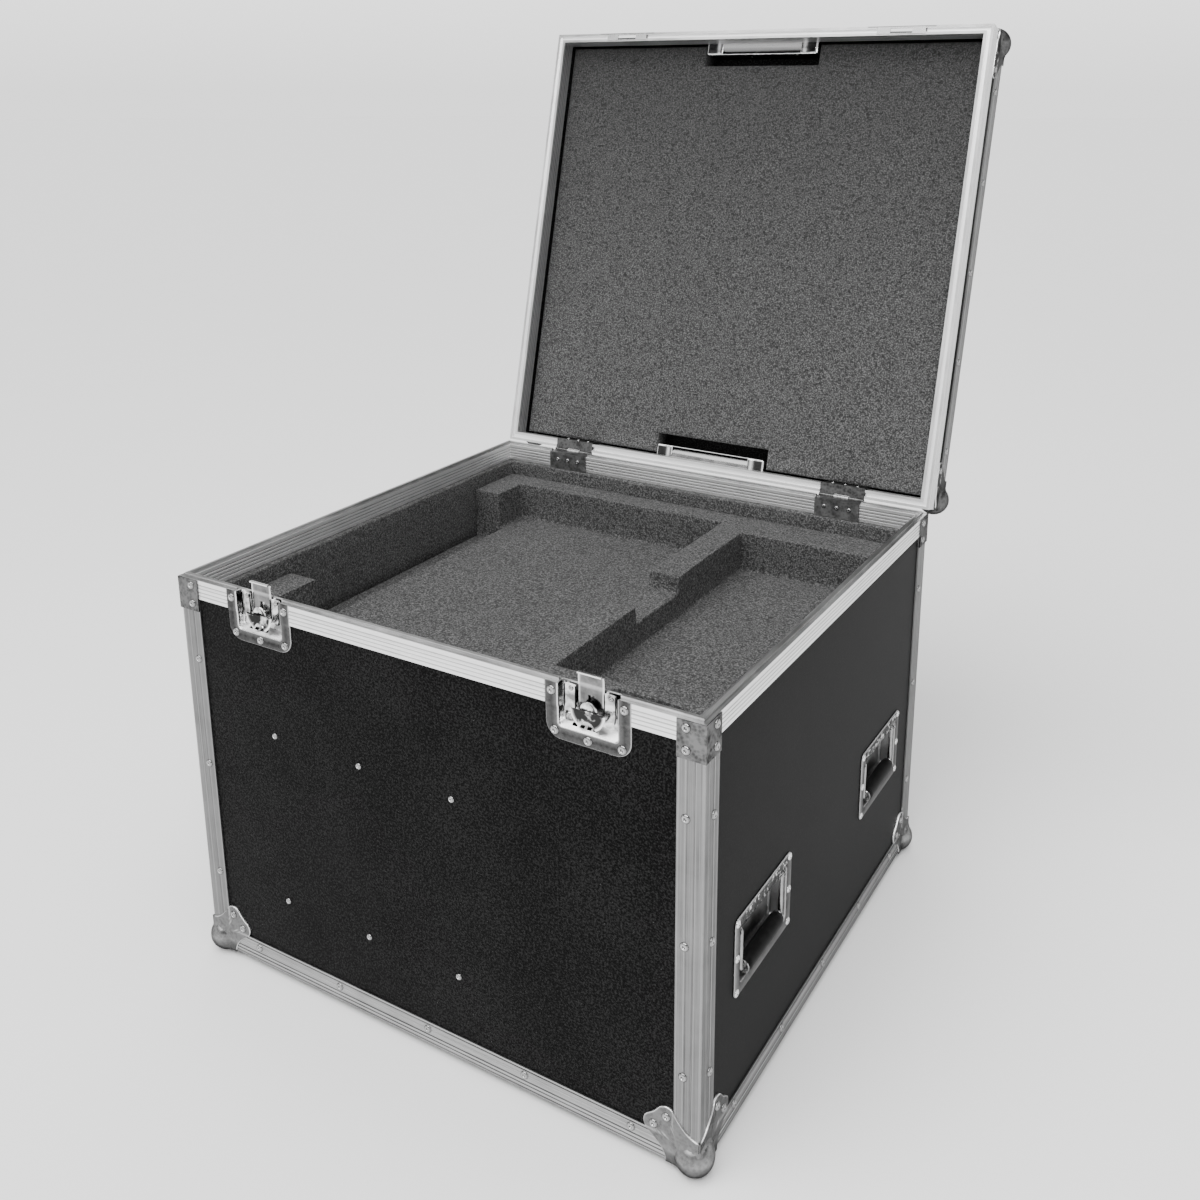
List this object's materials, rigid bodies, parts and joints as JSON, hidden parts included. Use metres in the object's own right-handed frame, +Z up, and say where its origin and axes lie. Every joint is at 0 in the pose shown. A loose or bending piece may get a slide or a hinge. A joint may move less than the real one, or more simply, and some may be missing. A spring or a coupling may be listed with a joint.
{
  "type": "guitar pedal case",
  "caption": "Flight case with a hinged lid, recessed butterfly latches, sprung handles, ball corners and a foam bed cut for pedals and a controller.",
  "frame": {"origin": "the centre of the base panel's underside, with the case standing and its lid open as pictured", "axes": "+Z up, +X to the right along the latched front, +Y to the hinged back"},
  "size_m": [0.7212, 0.9141, 1.1577],
  "materials": {
    "laminate": "black textured laminate on plywood",
    "plywood": "bare birch plywood",
    "extrusion": "satin with fine ridges",
    "zinc_plate": "dull zinc plate",
    "bright_plate": "bright zinc plate",
    "grip_rubber": "matt black",
    "foam": "dark grey open-cell foam"
  },
  "bodies": {
    "case": {"back_panel": "laminate", "front_panel": "laminate", "left_panel": "laminate", "right_panel": "laminate", "base_panel": "laminate", "body_rim": "extrusion", "divider_frame": "plywood", "foam_bed": "foam", "foam_lining": "foam", "post_angle_front_left": "extrusion", "rim_brace_front_left": "zinc_plate", "ball_corner_front_left": "zinc_plate", "post_angle_front_right": "extrusion", "rim_brace_front_right": "zinc_plate", "ball_corner_front_right": "zinc_plate", "post_angle_back_right": "extrusion", "rim_brace_back_right": "zinc_plate", "ball_corner_back_right": "zinc_plate", "post_angle_back_left": "extrusion", "rim_brace_back_left": "zinc_plate", "ball_corner_back_left": "zinc_plate", "base_angle_front": "extrusion", "base_angle_right": "extrusion", "base_angle_back": "extrusion", "base_angle_left": "extrusion", "latch_left_dish": "bright_plate", "hinge_left_body_leaf": "zinc_plate", "handle_left_front_dish": "bright_plate", "handle_left_back_dish": "bright_plate", "latch_right_dish": "bright_plate", "hinge_right_body_leaf": "zinc_plate", "handle_right_front_dish": "bright_plate", "handle_right_back_dish": "bright_plate"},
    "lid": {"lid_shell": "laminate", "lid_rim": "extrusion", "lid_edge_angles": "extrusion", "lid_foam": "foam", "lid_corner_front_left": "zinc_plate", "lid_corner_front_right": "zinc_plate", "lid_corner_back_right": "zinc_plate", "lid_corner_back_left": "zinc_plate", "latch_left_keeper": "bright_plate", "latch_right_keeper": "bright_plate", "hinge_left_lid_leaf": "zinc_plate", "hinge_right_lid_leaf": "zinc_plate", "lid_handle_front_dish": "bright_plate", "lid_handle_back_dish": "bright_plate"},
    "latch_left_spindle": {"latch_left_spindle": "bright_plate"},
    "latch_left_wing": {"latch_left_wing": "bright_plate"},
    "latch_left_hook": {"latch_left_hook": "bright_plate"},
    "latch_right_spindle": {"latch_right_spindle": "bright_plate"},
    "latch_right_wing": {"latch_right_wing": "bright_plate"},
    "latch_right_hook": {"latch_right_hook": "bright_plate"},
    "handle_left_front_bail": {"handle_left_front_bail": "grip_rubber"},
    "handle_left_back_bail": {"handle_left_back_bail": "grip_rubber"},
    "handle_right_front_bail": {"handle_right_front_bail": "grip_rubber"},
    "handle_right_back_bail": {"handle_right_back_bail": "grip_rubber"},
    "lid_handle_front_bail": {"lid_handle_front_bail": "grip_rubber"},
    "lid_handle_back_bail": {"lid_handle_back_bail": "grip_rubber"}
  },
  "joints": [
    {"name": "lid_hinge", "type": "hinge", "parent": "case", "child": "lid", "pos_m": [0, 0.3333, 0.50335], "axis": [1, 0, 0], "range_deg": [0, 104.4]},
    {"name": "latch_left_turn", "type": "hinge", "parent": "case", "child": "latch_left_spindle", "pos_m": [-0.222, -0.3281, 0.4802], "axis": [0, -1, 0], "range_deg": [0, 180]},
    {"name": "latch_left_fold", "type": "hinge", "parent": "latch_left_spindle", "child": "latch_left_wing", "pos_m": [-0.222, -0.3295, 0.4802], "axis": [-1, 0, 0], "range_deg": [0, 90]},
    {"name": "latch_left_pull", "type": "slide", "parent": "case", "child": "latch_left_hook", "axis": [0, -0.309, -0.9511], "range_m": [0, 0.012]},
    {"name": "latch_right_turn", "type": "hinge", "parent": "case", "child": "latch_right_spindle", "pos_m": [0.222, -0.3281, 0.4802], "axis": [0, -1, 0], "range_deg": [0, 180]},
    {"name": "latch_right_fold", "type": "hinge", "parent": "latch_right_spindle", "child": "latch_right_wing", "pos_m": [0.222, -0.3295, 0.4802], "axis": [-1, 0, 0], "range_deg": [0, 90]},
    {"name": "latch_right_pull", "type": "slide", "parent": "case", "child": "latch_right_hook", "axis": [0, -0.309, -0.9511], "range_m": [0, 0.012]},
    {"name": "handle_left_front_swing", "type": "hinge", "parent": "case", "child": "handle_left_front_bail", "pos_m": [-0.3465, -0.184, 0.224], "axis": [0, 1, 0], "range_deg": [0, 90], "stiffness_Nm_per_rad": 0.3, "springref_deg": -20.05},
    {"name": "handle_left_back_swing", "type": "hinge", "parent": "case", "child": "handle_left_back_bail", "pos_m": [-0.3465, 0.184, 0.224], "axis": [0, 1, 0], "range_deg": [0, 90], "stiffness_Nm_per_rad": 0.3, "springref_deg": -20.05},
    {"name": "handle_right_front_swing", "type": "hinge", "parent": "case", "child": "handle_right_front_bail", "pos_m": [0.3465, -0.184, 0.224], "axis": [0, -1, 0], "range_deg": [0, 90], "stiffness_Nm_per_rad": 0.3, "springref_deg": -20.05},
    {"name": "handle_right_back_swing", "type": "hinge", "parent": "case", "child": "handle_right_back_bail", "pos_m": [0.3465, 0.184, 0.224], "axis": [0, -1, 0], "range_deg": [0, 90], "stiffness_Nm_per_rad": 0.3, "springref_deg": -20.05},
    {"name": "lid_handle_front_swing", "type": "hinge", "parent": "lid", "child": "lid_handle_front_bail", "pos_m": [0, 0.54095, 1.12452], "axis": [-1, 0, 0], "range_deg": [0, 90], "stiffness_Nm_per_rad": 0.05, "springref_deg": -28.65},
    {"name": "lid_handle_back_swing", "type": "hinge", "parent": "lid", "child": "lid_handle_back_bail", "pos_m": [0, 0.38179, 0.50463], "axis": [1, 0, 0], "range_deg": [0, 90], "stiffness_Nm_per_rad": 0.05, "springref_deg": -28.65}
  ],
  "couplings": [
    {"joint": "latch_left_turn", "follows": "latch_left_pull", "rad_per_m": 261.79},
    {"joint": "latch_right_turn", "follows": "latch_right_pull", "rad_per_m": 261.79}
  ]
}
